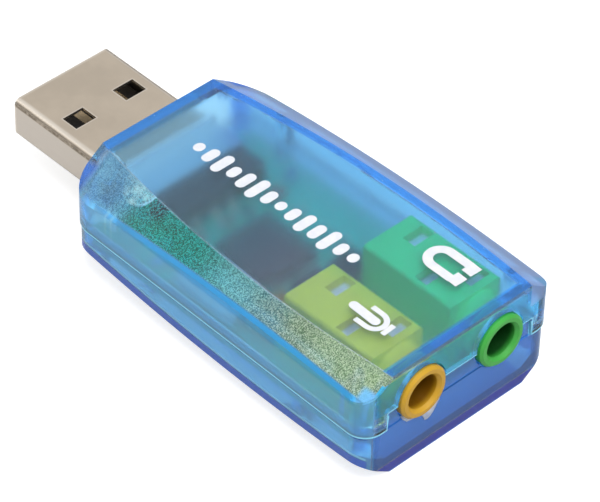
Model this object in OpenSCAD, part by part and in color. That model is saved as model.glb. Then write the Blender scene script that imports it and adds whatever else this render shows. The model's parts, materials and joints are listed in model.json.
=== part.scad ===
/* [Housing] */
// Length of the housing between its two end faces
housing_len = 40.3; // [39.5:0.1:44]
// Width of the housing at the plug end
plug_end_w = 23.2; // [22.6:0.1:25]
// Width of the housing at the jack end
jack_end_w = 23.9; // [23.4:0.1:26]
// Width of the flats on the top and the bottom at their widest
flat_w = 18.6; // [17.4:0.1:20]
// Radius of the long arcs that bound the flats in plan
flat_arc_r = 147; // [110:1:260]
// Distance from the jack end face to the widest place of the flats
flat_widest = 13.8; // [10:0.1:20]
// Angle between a side bevel and the flat
bevel_angle = 35; // [31:1:40]
// Plan corner radius at the plug end
plug_corner_r = 3.2; // [2.2:0.1:4.4]
// Plan corner radius at the jack end
jack_corner_r = 2.1; // [1.6:0.1:2.6]
// Height of the parting line above the bottom
parting_z = 5.7; // [5.3:0.1:6.3]
// Thickness of the side and end walls
wall_t = 1.3; // [1.1:0.1:1.6]
// Thickness of the roof
roof_t = 1.2; // [0.9:0.1:1.8]
// Thickness of the floor
floor_t = 1.5; // [1:0.1:2]
// Height of the lip that the lower half pushes into the upper half
lip_h = 0.8; // [0.5:0.1:1.2]
// Thickness of that lip
lip_t = 0.5; // [0.4:0.05:0.7]
// How far the outside of the lower half lies inside the upper half's
lower_setback = 0.15; // [0.05:0.05:0.25]
// Gap between the two halves where they face each other
half_gap = 0.05; // [0.03:0.01:0.1]
// Width of the tab that closes the notch round the jacks
tab_w = 18.2; // [17.4:0.1:19]
// How much narrower the tab is at its top than at its foot
tab_draft = 0.4; // [0:0.1:0.8]
// Thickness of the ribs that hold the board down
rib_t = 0.9; // [0.6:0.1:1.4]
// How far those ribs stand out of the side wall
rib_reach = 1.6; // [1.2:0.1:2]
// Distance from the plug end face to the ribs behind the plug
rib_from_back = 7.15; // [6.9:0.05:7.8]
// Distance from the jack end face to the ribs beside the jacks
rib_from_end = 3.35; // [2.8:0.05:4]

/* [Board] */
// Thickness of the circuit board
board_t = 1.2; // [0.8:0.1:1.6]
// Free height under the circuit board
board_lift = 2.1; // [1.7:0.1:3]
// Gap between the edge of the board and the walls
board_gap = 0.35; // [0.2:0.05:0.6]
// Diameter of the posts under the board
post_d = 2.4; // [2:0.1:2.8]
// Diameter of the two pins that locate the board
pin_d = 1.2; // [1:0.1:1.5]

/* [Plug] */
// Length of the plug outside the housing
plug_out = 13.95; // [12:0.05:15]
// Length of the plug shell
plug_len = 19.6; // [18.6:0.1:20.4]
// Width of the plug shell
plug_w = 12; // [11.9:0.05:12.1]
// Height of the plug shell
plug_h = 4.5; // [4.4:0.05:4.6]
// Thickness of the plug's sheet metal
plug_sheet = 0.3; // [0.25:0.05:0.35]
// Outer corner radius of the plug shell
plug_r = 0.7; // [0.5:0.1:1]
// Height of the plug axis above the board
plug_rise = 1; // [0.8:0.1:1.4]
// Distance from the tip of the plug to its windows
window_from_tip = 5.2; // [5:0.1:5.4]
// Size of a window along the plug
window_len = 2; // [1.8:0.1:2.2]
// Size of a window across the plug
window_w = 2.5; // [2.3:0.1:2.6]
// Distance between the centres of the two windows
window_pitch = 6.3; // [5.6:0.1:6.6]
// Thickness of the plug's tongue
tongue_t = 1.85; // [1.7:0.05:1.95]
// Depth of the space over the tongue
mouth_depth = 9.2; // [8.8:0.1:10]
// Width of a plug contact
pad_w = 1; // [0.9:0.05:1.1]

/* [Jacks] */
// Distance between the two jack axes
jack_pitch = 9.8; // [9.2:0.1:10.4]
// Length of a jack body
jack_len = 11.2; // [10.8:0.1:12]
// Width of a jack body
jack_w = 6.3; // [6.1:0.1:6.6]
// Height of a jack body
jack_h = 6; // [5.8:0.1:6.6]
// Diameter of the nose round the hole
nose_d = 5.5; // [5.2:0.1:5.8]
// Length of the nose in front of the body
nose_len = 3.7; // [3.2:0.1:4.2]
// How far the nose stands out of the housing
nose_out = 0.4; // [0.2:0.05:1]
// Diameter of the hole for a 3.5 mm plug
bore_d = 3.6; // [3.55:0.05:3.7]
// Thickness of the wall behind the hole
jack_back_t = 0.9; // [0.7:0.1:1.2]
// Width of a contact spring
spring_w = 1.3; // [1:0.1:1.6]
// Thickness of a contact spring
spring_t = 0.25; // [0.2:0.05:0.3]

/* [Parts on the board] */
// Side of the square audio chip
chip_w = 7; // [6:0.1:7.6]
// Height of the audio chip above its stand-off
chip_h = 1.4; // [1:0.1:1.6]
// Distance from the plug end face to the middle of the chip
chip_from_back = 16.5; // [16:0.1:17.5]
// Length of the lying crystal
crystal_len = 8; // [7.6:0.1:8.4]
// Diameter of the crystal
crystal_d = 3; // [2.6:0.1:3.2]
// Length of a small two-ended component
small_len = 1.6; // [1.4:0.1:2]
// Width of a small two-ended component
small_w = 0.8; // [0.7:0.05:1]

/* [Hidden] */

// Roundness of small round parts and of the long arcs
$fn = 48;
arc_fn = 720;
// Extra length of a cut beyond the faces that it leaves through
over = 1;

// Places along the part, with the origin under its middle
total_len = plug_out + housing_len + nose_out;
tip_x = -total_len / 2;
back_x = tip_x + plug_out;
end_x = back_x + housing_len;
flat_x = end_x - flat_widest;

// Heights, stacked up from the bottom face
board_z = floor_t + board_lift;
board_top = board_z + board_t;
plug_z = board_top + plug_rise;
jack_z = board_top + jack_h / 2;
roof_gap = 0.1;
top_z = board_top + jack_h + roof_gap + roof_t;

// Clearances
slot_gap = 0.1;
nose_gap = 0.2;
seat_gap = 0.05;
side_gap = 0.03;

// Housing outline
taper = atan((jack_end_w - plug_end_w) / 2 / housing_len);
min_r = 0.3;
// How far the straight sides run inside the corner circles, so that they cross cleanly
side_slack = 0.003;
lip_root = 0.3;
// Share of a wall's thickness that a rib or a post is rooted in
root_share = 0.6;
tab_setback = 0.1;

// Plug details
shell_rear_x = tip_x + plug_len;
notch_gap = 0.25;
// Seam where the folded sheet's edges meet underneath
seam_gap = 0.06;
wing_x = shell_rear_x - 2.2;
wing_w = 1.8;
wing_reach = 1.7;
leg_drop = 0.7;
tongue_top = plug_z - plug_h / 2 + plug_sheet + tongue_t;
tongue_from_tip = 0.5;
tongue_gap = 0.3;
mouth_x = tip_x + mouth_depth;
tail_len = 3.2;
tail_w = plug_w - 1;
tail_h = 2.8;
tail_x = shell_rear_x + tail_len;
pad_t = 0.2;
pad_y = [3.5, 1, -1, -3.5];
pad_from_tip = [1.3, 2.3, 2.3, 1.3];
foot_len = 1.2;

// Jack details
mouth_end_x = end_x + nose_out;
jack_front_x = mouth_end_x - nose_len;
jack_rear_x = jack_front_x - jack_len;
bore_depth = nose_len + jack_len - jack_back_t;
jack_r = 0.4;
nose_chamfer = 0.25;
lead_in_d = bore_d + 0.6;
lead_in_depth = 0.35;
// Each contact as its distance from the rear of the body and its side
tip_spot = [2.45, 1];
ring_spot = [6.85, -1];
sleeve_spot = [9.6, 1];
SPOTS = [tip_spot, ring_spot, sleeve_spot];
spring_lift = 0.05;
// Window through which a contact meets the plug: its far edge from the jack's axis
window_y = 1.2;
riser_inset = 0.5;
spring_z = jack_z + bore_d / 2 + spring_lift;
riser_y = jack_w / 2 - riser_inset - spring_t;
finger_start = 0.3;
leg_gap = 0.12;

// Board outline
board_end_x = jack_front_x + 0.5;

// Solder under the board
joint_drop = 0.6;
joint_r = 0.95;
joint_tip_r = 0.45;

// Ribs and posts, each post as its place along the part and its distance from the middle
back_rib_x = back_x + rib_from_back;
end_rib_x = end_x - rib_from_end;
post_gap = 0.2;
back_post = [wing_x, wing_leg_y() + joint_r + post_d / 2 + post_gap];
end_post = [end_x - 9.8, 9];
pin_post = [shell_rear_x + 4.15, 8];
pin_stand = 0.5;
pin_gap = 0.1;

// Parts on the board
chip_x = back_x + chip_from_back;
chip_y = -1.6;
stand_off = 0.1;
chip_r = 0.3;
dimple_d = 0.8;
dimple_inset = 1;
dimple_depth = 0.1;
pin_count = 12;
pin_pitch = 0.5;
pin_w = 0.22;
pin_t = 0.15;
pin_reach = 1;
bend_share = 0.4;
crystal_x = chip_x + 1.2;
crystal_margin = 0.4;
crystal_y = crystal_d / 2 - side_y(crystal_x, wall_t + board_gap + crystal_margin);
crystal_z = board_top + crystal_d / 2;
crystal_end_r = 0.35;
header_len = 0.6;
header_step = 0.15;
// Crystal leads: side of their section, pitch, reach to the bend, and length of the foot
lead_t = 0.3;
lead_pitch = 1.1;
lead_reach = 0.8;
lead_foot = 0.7;
tantalum = [2.8, 3.4, 1.8];
tantalum_x = jack_rear_x - 2.2;
power_y = -6.6;
output_y = [-1.9, 2.4];
terminal_t = 0.15;
terminal_w = 2;
terminal_reach = 0.9;
small_cap_h = 0.8;
resistor_h = 0.45;
end_cap = 0.3;
// Rows of small components beside the chip, towards the plug and towards the far side
row_x = chip_x - chip_w / 2 - pin_reach - 1.1;
row_y = chip_y + chip_w / 2 + pin_reach + 1.6;
ceramic_spots = [
    [row_x, chip_y - 3.2], [row_x, chip_y + 0.4], [chip_x + 3.6, row_y], [chip_x - 2, row_y],
];
resistor_spots = [[row_x, chip_y + 3], [row_x, chip_y - 5.4], [chip_x + 1.3, row_y]];
led_x = row_x;
led_y = chip_y + chip_w / 2 + 3.1;
led_size = [1.25, 2, 0.8];
led_step = 0.4;

// Half width of the housing outline at x, drawn in by inset
function side_y(x, inset) = plug_end_w / 2 + (x - back_x) * tan(taper) - inset / cos(taper);

// Point just inside a corner circle, below where the straight side touches it
function side_touch(x, inset, r) =
    [x - (r - side_slack) * sin(taper), side_y(x, inset) - r / cos(taper) + (r - side_slack) * cos(taper)];

// Radius of a bevel's cone at a depth below its flat, drawn in by inset
function bevel_r(depth, inset) =
    flat_arc_r + depth / tan(bevel_angle) - inset / sin(bevel_angle);

// Housing outline in plan, drawn in by inset: straight sides and ends with round corners
module plan(inset) {
    rp = max(plug_corner_r - inset, min_r);
    rj = max(jack_corner_r - inset, min_r);
    xp = back_x + inset + rp;
    xj = end_x - inset - rj;
    yp = side_y(xp, inset) - rp / cos(taper);
    yj = side_y(xj, inset) - rj / cos(taper);
    union() {
        polygon([[back_x + inset, -yp], [xp, -yp], [xp, yp], [back_x + inset, yp]]);
        polygon([[xj, -yj], [end_x - inset, -yj], [end_x - inset, yj], [xj, yj]]);
        for (side = [-1, 1])
            mirror([0, side < 0 ? 1 : 0, 0]) {
                polygon([
                    [xp, 0],
                    [xj, 0],
                    [xj, yj],
                    side_touch(xj, inset, rj),
                    side_touch(xp, inset, rp),
                    [xp, yp],
                ]);
                translate([xp, yp])
                    circle(r = rp);
                translate([xj, yj])
                    circle(r = rj);
            }
    }
}

// Rectangle with round corners, about the origin
module rounded_rect(w, h, r) {
    union() {
        square([w, h - 2 * r], center = true);
        square([w - 2 * r, h], center = true);
        for (x = [-1, 1])
            for (y = [-1, 1])
                translate([x * (w / 2 - r), y * (h / 2 - r)])
                    circle(r = r);
    }
}

// Slot shape with round ends, about the origin
module oblong(len, w) {
    union() {
        square([len - w, w], center = true);
        for (side = [-1, 1])
            translate([side * (len - w) / 2, 0])
                circle(d = w);
    }
}

// Slab of the outline between two heights
module plan_slab(inset, z0, z1) {
    translate([0, 0, z0])
        linear_extrude(z1 - z0)
            plan(inset);
}

// Places its children on the axis of one side's long arc
module arc_axis(side) {
    translate([flat_x, -side * (flat_arc_r - flat_w / 2), 0])
        children();
}

// Outer form above the parting line: the outline cut by two wide cones
module upper_form(inset, z0, z1) {
    intersection() {
        plan_slab(inset, z0, z1);
        bevel_cones(z0, z1, bevel_r(top_z - z0, inset), bevel_r(top_z - z1, inset));
    }
}

// Outer form below the parting line
module lower_form(inset, z0, z1) {
    intersection() {
        plan_slab(inset, z0, z1);
        bevel_cones(z0, z1, bevel_r(z0, inset), bevel_r(z1, inset));
    }
}

// What lies inside the wide cones of both sides, between two heights
module bevel_cones(z0, z1, r0, r1) {
    intersection_for (side = [-1, 1])
        arc_axis(side)
            translate([0, 0, z0])
                cylinder(h = z1 - z0, r1 = r0, r2 = r1, $fn = arc_fn);
}

// Box given by its lowest corner and its highest corner
module block(low, high) {
    translate(low)
        cube(high - low);
}

// Profile drawn across the part, extruded along X from x0 to x1
module along_x(x0, x1) {
    translate([x0, 0, 0])
        rotate([90, 0, 90])
            linear_extrude(x1 - x0)
                children();
}

// Round bar or hole along X on one jack's axis
module jack_bar(y, x0, x1, d) {
    translate([x0, y, jack_z])
        rotate([0, 90, 0])
            cylinder(h = x1 - x0, d = d);
}

// Holes for both noses in the jack end wall
module nose_holes() {
    for (side = [-1, 1])
        jack_bar(side * jack_pitch / 2, end_x - wall_t - over, end_x + over, nose_d + 2 * nose_gap);
}

module plug_slot() {
    block(
        [back_x - over, -plug_w / 2 - slot_gap, plug_z - plug_h / 2 - slot_gap],
        [back_x + wall_t + over, plug_w / 2 + slot_gap, plug_z + plug_h / 2 + slot_gap]
    );
}

// Half width of the tab at a height, grown sideways: tab and notch share one draft
function tab_half(z, grow) = tab_w / 2 + grow - (z - parting_z) * tab_draft / 2 / (jack_z - parting_z);

// Tab or notch round the jacks, seen from the jack end
module tab_profile(grow, z0, z1) {
    polygon([
        [-tab_half(z0, grow), z0],
        [tab_half(z0, grow), z0],
        [tab_half(z1, grow), z1],
        [-tab_half(z1, grow), z1],
    ]);
}

// Boxes that reach from inside the side walls to the ribs' inner edges
module rib_boxes() {
    for (x = [back_rib_x, end_rib_x])
        for (side = [-1, 1])
            mirror([0, side < 0 ? 1 : 0, 0])
                block(
                    [x - rib_t / 2, side_y(x, wall_t) - rib_reach, board_top],
                    [x + rib_t / 2, side_y(x, 0), top_z]
                );
}

// Ribs that hold the board down: clear of the lip at their foot, joined to the wall above it
module hold_down_ribs() {
    lip_top = parting_z + lip_h + half_gap;
    intersection() {
        union() {
            plan_slab(wall_t + half_gap, board_top + seat_gap, lip_top);
            upper_form(wall_t * root_share, lip_top, top_z - roof_t * root_share);
        }
        union()
            rib_boxes();
    }
}

module upper_shell() {
    color([0.35, 0.62, 0.9, 0.45])
        union() {
            difference() {
                upper_form(0, parting_z, top_z);
                upper_form(wall_t, parting_z - over, top_z - roof_t);
                plan_slab(wall_t - lip_t - half_gap, parting_z - over, parting_z + lip_h + half_gap);
                along_x(end_x - wall_t - over, end_x + over)
                    tab_profile(0, parting_z - over, jack_z);
                nose_holes();
                plug_slot();
            }
            hold_down_ribs();
        }
}

// Lip round the rim, open at the plug and at the tab
module lip() {
    difference() {
        plan_slab(wall_t - lip_t, parting_z - lip_root, parting_z + lip_h);
        plan_slab(wall_t, parting_z - lip_root - over, parting_z + lip_h + over);
        plug_slot();
        block(
            [end_x - wall_t - over, -tab_w / 2 - half_gap, parting_z - lip_root - over],
            [end_x + over, tab_w / 2 + half_gap, parting_z + lip_h + over]
        );
    }
}

module board_posts() {
    intersection() {
        lower_form(wall_t * root_share, floor_t * root_share, board_z);
        union()
            for (spot = [back_post, end_post, pin_post])
                for (side = [-1, 1])
                    translate([spot[0], side * spot[1], 0])
                        cylinder(h = board_z, d = post_d);
    }
    for (side = [-1, 1])
        translate([pin_post[0], side * pin_post[1], board_z - over])
            cylinder(h = over + board_t + pin_stand, d = pin_d);
}

module lower_shell() {
    color([0.3, 0.5, 0.85, 0.45])
        difference() {
            union() {
                difference() {
                    lower_form(lower_setback, 0, parting_z);
                    lower_form(wall_t, floor_t, parting_z + over);
                }
                lip();
                along_x(end_x - wall_t, end_x - lower_setback - tab_setback)
                    tab_profile(-half_gap, parting_z - lip_root, jack_z - half_gap);
                board_posts();
            }
            nose_holes();
            plug_slot();
        }
}

// Holes for the legs of one jack's contacts
module leg_holes(y) {
    for (spot = SPOTS)
        block(
            [
                jack_rear_x + spot[0] - spring_w / 2 - leg_gap,
                y + spot[1] * (riser_y + spring_t / 2) - spring_t / 2 - leg_gap,
                board_z - over,
            ],
            [
                jack_rear_x + spot[0] + spring_w / 2 + leg_gap,
                y + spot[1] * (riser_y + spring_t / 2) + spring_t / 2 + leg_gap,
                board_top + over,
            ]
        );
}

module circuit_board() {
    edge_r = bevel_r(board_z, wall_t) - board_gap;
    color([0.05, 0.42, 0.28])
        difference() {
            intersection() {
                plan_slab(wall_t + board_gap, board_z, board_top);
                bevel_cones(board_z, board_top, edge_r, edge_r);
                block([back_x, -plug_end_w, board_z - over], [board_end_x, plug_end_w, board_top + over]);
            }
            block(
                [back_x - over, -plug_w / 2 - notch_gap, board_z - over],
                [shell_rear_x + seat_gap, plug_w / 2 + notch_gap, board_top + over]
            );
            for (side = [-1, 1]) {
                translate([pin_post[0], side * pin_post[1], board_z - over])
                    cylinder(h = board_t + 2 * over, d = pin_d + 2 * pin_gap);
                block(
                    [wing_x - wing_w / 2 - leg_gap, side * wing_leg_y() - plug_sheet / 2 - leg_gap, board_z - over],
                    [wing_x + wing_w / 2 + leg_gap, side * wing_leg_y() + plug_sheet / 2 + leg_gap, board_top + over]
                );
                leg_holes(side * jack_pitch / 2);
            }
        }
}

// Middle of a shell leg's sheet, across the part
function wing_leg_y() = plug_w / 2 + wing_reach - plug_sheet / 2;

module usb_shell() {
    color([0.75, 0.72, 0.66])
        union() {
            difference() {
                along_x(tip_x, shell_rear_x)
                    translate([0, plug_z])
                        rounded_rect(plug_w, plug_h, plug_r);
                along_x(tip_x - over, shell_rear_x + over)
                    translate([0, plug_z])
                        rounded_rect(plug_w - 2 * plug_sheet, plug_h - 2 * plug_sheet, plug_r - plug_sheet);
                block(
                    [tip_x - over, -seam_gap / 2, plug_z - plug_h / 2 - over],
                    [shell_rear_x + over, seam_gap / 2, plug_z - plug_h / 2 + 2 * plug_sheet]
                );
                for (side = [-1, 1])
                    translate([
                        tip_x + window_from_tip,
                        side * window_pitch / 2 - window_w / 2,
                        plug_z - plug_h / 2 - over,
                    ])
                        cube([window_len, window_w, plug_h + 2 * over]);
            }
            for (side = [-1, 1])
                mirror([0, side < 0 ? 1 : 0, 0]) {
                    block(
                        [wing_x - wing_w / 2, plug_w / 2 - plug_sheet, board_top],
                        [wing_x + wing_w / 2, plug_w / 2 + wing_reach, board_top + plug_sheet]
                    );
                    block(
                        [wing_x - wing_w / 2, plug_w / 2 + wing_reach - plug_sheet, board_z - leg_drop],
                        [wing_x + wing_w / 2, plug_w / 2 + wing_reach, board_top + plug_sheet]
                    );
                }
        }
}

module usb_insulator() {
    half_w = plug_w / 2 - plug_sheet - side_gap;
    low_z = plug_z - plug_h / 2 + plug_sheet + side_gap;
    high_z = plug_z + plug_h / 2 - plug_sheet - side_gap;
    color([0.12, 0.12, 0.13])
        difference() {
            union() {
                block([tip_x + tongue_from_tip, tongue_gap - half_w, low_z], [mouth_x + over, half_w - tongue_gap, tongue_top]);
                along_x(mouth_x, shell_rear_x)
                    translate([0, plug_z])
                        rounded_rect(2 * half_w, high_z - low_z, plug_r - plug_sheet);
                block([shell_rear_x - over, -tail_w / 2, board_top], [tail_x, tail_w / 2, board_top + tail_h]);
            }
            for (i = [0 : 3])
                block(
                    [tip_x + pad_from_tip[i], pad_y[i] - pad_w / 2 - side_gap, tongue_top - pad_t],
                    [tail_x + over, pad_y[i] + pad_w / 2 + side_gap, tongue_top + side_gap]
                );
        }
}

// Flat contact of the plug, bent down to its foot on the board
module usb_contact(i) {
    color([0.85, 0.68, 0.3])
        union() {
            block(
                [tip_x + pad_from_tip[i], pad_y[i] - pad_w / 2, tongue_top - pad_t],
                [tail_x + pad_t, pad_y[i] + pad_w / 2, tongue_top]
            );
            block(
                [tail_x, pad_y[i] - pad_w / 2, board_top],
                [tail_x + pad_t, pad_y[i] + pad_w / 2, tongue_top]
            );
            block(
                [tail_x, pad_y[i] - pad_w / 2, board_top],
                [tail_x + foot_len, pad_y[i] + pad_w / 2, board_top + pad_t]
            );
        }
}

// Nose with a chamfered rim, on the jack's axis
module nose(y) {
    translate([jack_front_x - over, y, jack_z])
        rotate([0, 90, 0])
            rotate_extrude()
                polygon([
                    [0, 0],
                    [nose_d / 2, 0],
                    [nose_d / 2, nose_len + over - nose_chamfer],
                    [nose_d / 2 - nose_chamfer, nose_len + over],
                    [0, nose_len + over],
                ]);
}

// Pocket of one contact: open at the top, with a window into the hole and a slot down the side
module contact_pocket(y, spot) {
    low_x = jack_rear_x + spot[0] - spring_w / 2 - leg_gap;
    high_x = jack_rear_x + spot[0] + spring_w / 2 + leg_gap;
    translate([0, y, 0])
        mirror([0, spot[1] < 0 ? 1 : 0, 0]) {
            block(
                [low_x, finger_start - leg_gap, spring_z],
                [high_x, riser_y + spring_t, board_top + jack_h + over]
            );
            block(
                [low_x, finger_start - leg_gap, jack_z + bore_d / 4],
                [high_x, window_y, spring_z + over]
            );
            block(
                [low_x, riser_y, board_top - over],
                [high_x, riser_y + spring_t, spring_z + over]
            );
        }
}

module jack_body(y) {
    difference() {
        union() {
            along_x(jack_rear_x, jack_front_x)
                translate([y, jack_z])
                    rounded_rect(jack_w, jack_h, jack_r);
            nose(y);
        }
        jack_bar(y, mouth_end_x - bore_depth, mouth_end_x + over, bore_d);
        translate([mouth_end_x - lead_in_depth, y, jack_z])
            rotate([0, 90, 0])
                cylinder(h = 2 * lead_in_depth, d1 = bore_d, d2 = 2 * lead_in_d - bore_d);
        for (spot = SPOTS)
            contact_pocket(y, spot);
    }
}

module headphone_jack_body() {
    color([0.2, 0.75, 0.25])
        jack_body(jack_pitch / 2);
}

module microphone_jack_body() {
    color([0.88, 0.7, 0.15])
        jack_body(-jack_pitch / 2);
}

// Spring finger over the hole, its riser and its solder leg, in one strip
module spring_contact(y, spot) {
    low_x = jack_rear_x + spot[0] - spring_w / 2;
    high_x = jack_rear_x + spot[0] + spring_w / 2;
    color([0.8, 0.78, 0.72])
        translate([0, y, 0])
            mirror([0, spot[1] < 0 ? 1 : 0, 0])
                union() {
                    block([low_x, finger_start, spring_z], [high_x, riser_y + spring_t, spring_z + spring_t]);
                    block(
                        [low_x, riser_y, board_z - leg_drop],
                        [high_x, riser_y + spring_t, spring_z + spring_t]
                    );
                }
}

module audio_chip() {
    color([0.1, 0.1, 0.11])
        translate([chip_x, chip_y, board_top + stand_off])
            difference() {
                linear_extrude(chip_h)
                    rounded_rect(chip_w, chip_w, chip_r);
                translate([chip_w / 2 - dimple_inset, dimple_inset - chip_w / 2, chip_h - dimple_depth])
                    cylinder(h = over, d = dimple_d);
            }
}

// One bent pin, from the chip's side at mid height to the board
module gull_pin() {
    shoulder = stand_off + chip_h / 2;
    bend = pin_reach * bend_share;
    translate([-pin_w / 2, 0, 0])
        rotate([90, 0, 90])
            linear_extrude(pin_w)
                polygon([
                    [0, shoulder],
                    [bend, shoulder],
                    [bend + pin_t, pin_t],
                    [pin_reach, pin_t],
                    [pin_reach, 0],
                    [bend, 0],
                    [bend - pin_t, shoulder - pin_t],
                    [0, shoulder - pin_t],
                ]);
}

module audio_chip_pins() {
    color([0.78, 0.78, 0.76])
        for (quarter = [0 : 3])
            for (i = [0 : pin_count - 1])
                translate([chip_x, chip_y, board_top])
                    rotate([0, 0, 90 * quarter])
                        translate([(i - (pin_count - 1) / 2) * pin_pitch, chip_w / 2, 0])
                            gull_pin();
}

// Turns a profile of (distance from the axis, distance from the header's end) into the lying crystal
module along_crystal() {
    translate([crystal_x - crystal_len / 2, crystal_y, crystal_z])
        rotate([0, 90, 0])
            rotate_extrude()
                children();
}

module crystal_base() {
    color([0.6, 0.6, 0.58])
        along_crystal()
            square([crystal_d / 2 - header_step, header_len]);
}

// Can of the crystal, with its closed end drawn in
module crystal_can() {
    color([0.78, 0.77, 0.74])
        along_crystal()
            polygon([
                [0, header_len],
                [crystal_d / 2, header_len],
                [crystal_d / 2, crystal_len - crystal_end_r],
                [crystal_d / 2 - crystal_end_r, crystal_len],
                [0, crystal_len],
            ]);
}

// Leads from the crystal's header, bent down to their feet on the board
module crystal_leads() {
    start = crystal_x - crystal_len / 2;
    rise = crystal_z - board_top + lead_t / 2;
    color([0.8, 0.8, 0.78])
        for (side = [-1, 1])
            translate([start, crystal_y + side * lead_pitch / 2 + lead_t / 2, board_top])
                rotate([90, 0, 0])
                    linear_extrude(lead_t)
                        polygon([
                            [0, rise],
                            [0, rise - lead_t],
                            [lead_t - lead_reach, rise - lead_t],
                            [lead_t - lead_reach, 0],
                            [-lead_reach - lead_foot, 0],
                            [-lead_reach - lead_foot, lead_t],
                            [-lead_reach, lead_t],
                            [-lead_reach, rise],
                        ]);
}

// Moulded capacitor body between its two terminals
module tantalum_body(y) {
    translate([tantalum_x, y, board_top + terminal_t + tantalum[2] / 2])
        cube(tantalum, center = true);
}

module power_capacitor() {
    color([0.85, 0.6, 0.15])
        tantalum_body(power_y);
}

module output_capacitors() {
    color([0.13, 0.13, 0.14])
        for (y = output_y)
            tantalum_body(y);
}

// Terminals that wrap the two ends of each moulded capacitor
module capacitor_terminals() {
    color([0.8, 0.8, 0.78])
        for (y = concat([power_y], output_y))
            for (side = [-1, 1])
                translate([tantalum_x, y, board_top])
                    mirror([0, side < 0 ? 1 : 0, 0])
                        union() {
                            block(
                                [-terminal_w / 2, tantalum[1] / 2 - terminal_reach, 0],
                                [terminal_w / 2, tantalum[1] / 2 + terminal_t, terminal_t]
                            );
                            block(
                                [-terminal_w / 2, tantalum[1] / 2, 0],
                                [terminal_w / 2, tantalum[1] / 2 + terminal_t, tantalum[2] / 2]
                            );
                        }
}

// Body of a small component, between its two end caps
module small_body(spot, height) {
    translate([spot[0] - small_w / 2, spot[1] - small_len / 2 + end_cap, board_top])
        cube([small_w, small_len - 2 * end_cap, height]);
}

// End caps of a small component
module small_caps(spot, height) {
    for (side = [-1, 1])
        translate([spot[0], spot[1] + side * (small_len - end_cap) / 2, board_top + height / 2])
            cube([small_w, end_cap, height], center = true);
}

module ceramic_capacitors() {
    color([0.72, 0.6, 0.45])
        for (spot = ceramic_spots)
            small_body(spot, small_cap_h);
}

module resistors() {
    color([0.1, 0.1, 0.1])
        for (spot = resistor_spots)
            small_body(spot, resistor_h);
}

module component_terminals() {
    color([0.8, 0.8, 0.78]) {
        for (spot = ceramic_spots)
            small_caps(spot, small_cap_h);
        for (spot = resistor_spots)
            small_caps(spot, resistor_h);
    }
}

module status_led() {
    color([0.9, 0.3, 0.25])
        translate([led_x - led_size[0] / 2, led_y - led_size[1] / 2, board_top])
            union() {
                cube([led_size[0], led_size[1], led_size[2] / 2]);
                translate([0, led_step, 0])
                    cube([led_size[0], led_size[1] - 2 * led_step, led_size[2]]);
            }
}

// Solder cone under the board
module joint(x, y) {
    translate([x, y, board_z - joint_drop])
        cylinder(h = joint_drop, r1 = joint_tip_r, r2 = joint_r, $fn = 24);
}

module solder_joints() {
    color([0.75, 0.75, 0.74]) {
        for (side = [-1, 1]) {
            difference() {
                joint(wing_x, side * wing_leg_y());
                block(
                    [wing_x - wing_w / 2, side * wing_leg_y() - plug_sheet / 2, board_z - leg_drop - over],
                    [wing_x + wing_w / 2, side * wing_leg_y() + plug_sheet / 2, board_z + over]
                );
            }
            for (spot = SPOTS)
                jack_joint(side * jack_pitch / 2, spot);
        }
    }
}

// Solder round the leg of one jack contact
module jack_joint(y, spot) {
    leg_x = jack_rear_x + spot[0];
    leg_y = y + spot[1] * (riser_y + spring_t / 2);
    difference() {
        joint(leg_x, leg_y);
        block(
            [leg_x - spring_w / 2, leg_y - spring_t / 2, board_z - leg_drop - over],
            [leg_x + spring_w / 2, leg_y + spring_t / 2, board_z + over]
        );
    }
}

upper_shell();
lower_shell();
circuit_board();
usb_shell();
usb_insulator();
usb_contact(0);  // usb_contact_power
usb_contact(1);  // usb_contact_data_minus
usb_contact(2);  // usb_contact_data_plus
usb_contact(3);  // usb_contact_ground
headphone_jack_body();
spring_contact(jack_pitch / 2, sleeve_spot);  // headphone_sleeve_contact
spring_contact(jack_pitch / 2, ring_spot);  // headphone_ring_contact
spring_contact(jack_pitch / 2, tip_spot);  // headphone_tip_contact
microphone_jack_body();
spring_contact(-jack_pitch / 2, sleeve_spot);  // microphone_sleeve_contact
spring_contact(-jack_pitch / 2, ring_spot);  // microphone_ring_contact
spring_contact(-jack_pitch / 2, tip_spot);  // microphone_tip_contact
audio_chip();
audio_chip_pins();
crystal_base();
crystal_can();
crystal_leads();
power_capacitor();
output_capacitors();
capacitor_terminals();
ceramic_capacitors();
resistors();
component_terminals();
status_led();
solder_joints();
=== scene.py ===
import json
import math

import bmesh
import bpy
from mathutils import Matrix, Vector
from mathutils.bvhtree import BVHTree


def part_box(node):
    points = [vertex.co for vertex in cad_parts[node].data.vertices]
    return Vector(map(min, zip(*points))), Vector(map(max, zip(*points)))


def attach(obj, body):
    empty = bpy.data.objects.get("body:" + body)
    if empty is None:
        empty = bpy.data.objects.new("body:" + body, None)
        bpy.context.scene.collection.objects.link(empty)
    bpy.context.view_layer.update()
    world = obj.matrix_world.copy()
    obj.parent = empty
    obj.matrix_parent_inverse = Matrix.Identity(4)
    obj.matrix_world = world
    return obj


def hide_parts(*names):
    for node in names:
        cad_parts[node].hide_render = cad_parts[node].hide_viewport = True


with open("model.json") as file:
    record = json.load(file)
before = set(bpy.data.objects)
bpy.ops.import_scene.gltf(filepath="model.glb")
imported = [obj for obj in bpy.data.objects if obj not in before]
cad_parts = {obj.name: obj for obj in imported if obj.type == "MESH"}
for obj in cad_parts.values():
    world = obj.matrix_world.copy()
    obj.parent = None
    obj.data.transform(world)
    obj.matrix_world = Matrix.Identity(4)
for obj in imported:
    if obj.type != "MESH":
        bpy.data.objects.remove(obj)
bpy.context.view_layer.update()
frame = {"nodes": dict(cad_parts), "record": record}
NODES = frame["nodes"]

# Blender works in metres. Sizes and places in this script are in millimetres unless they say otherwise.
MM = 0.001


# Places taken from the frame

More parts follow.
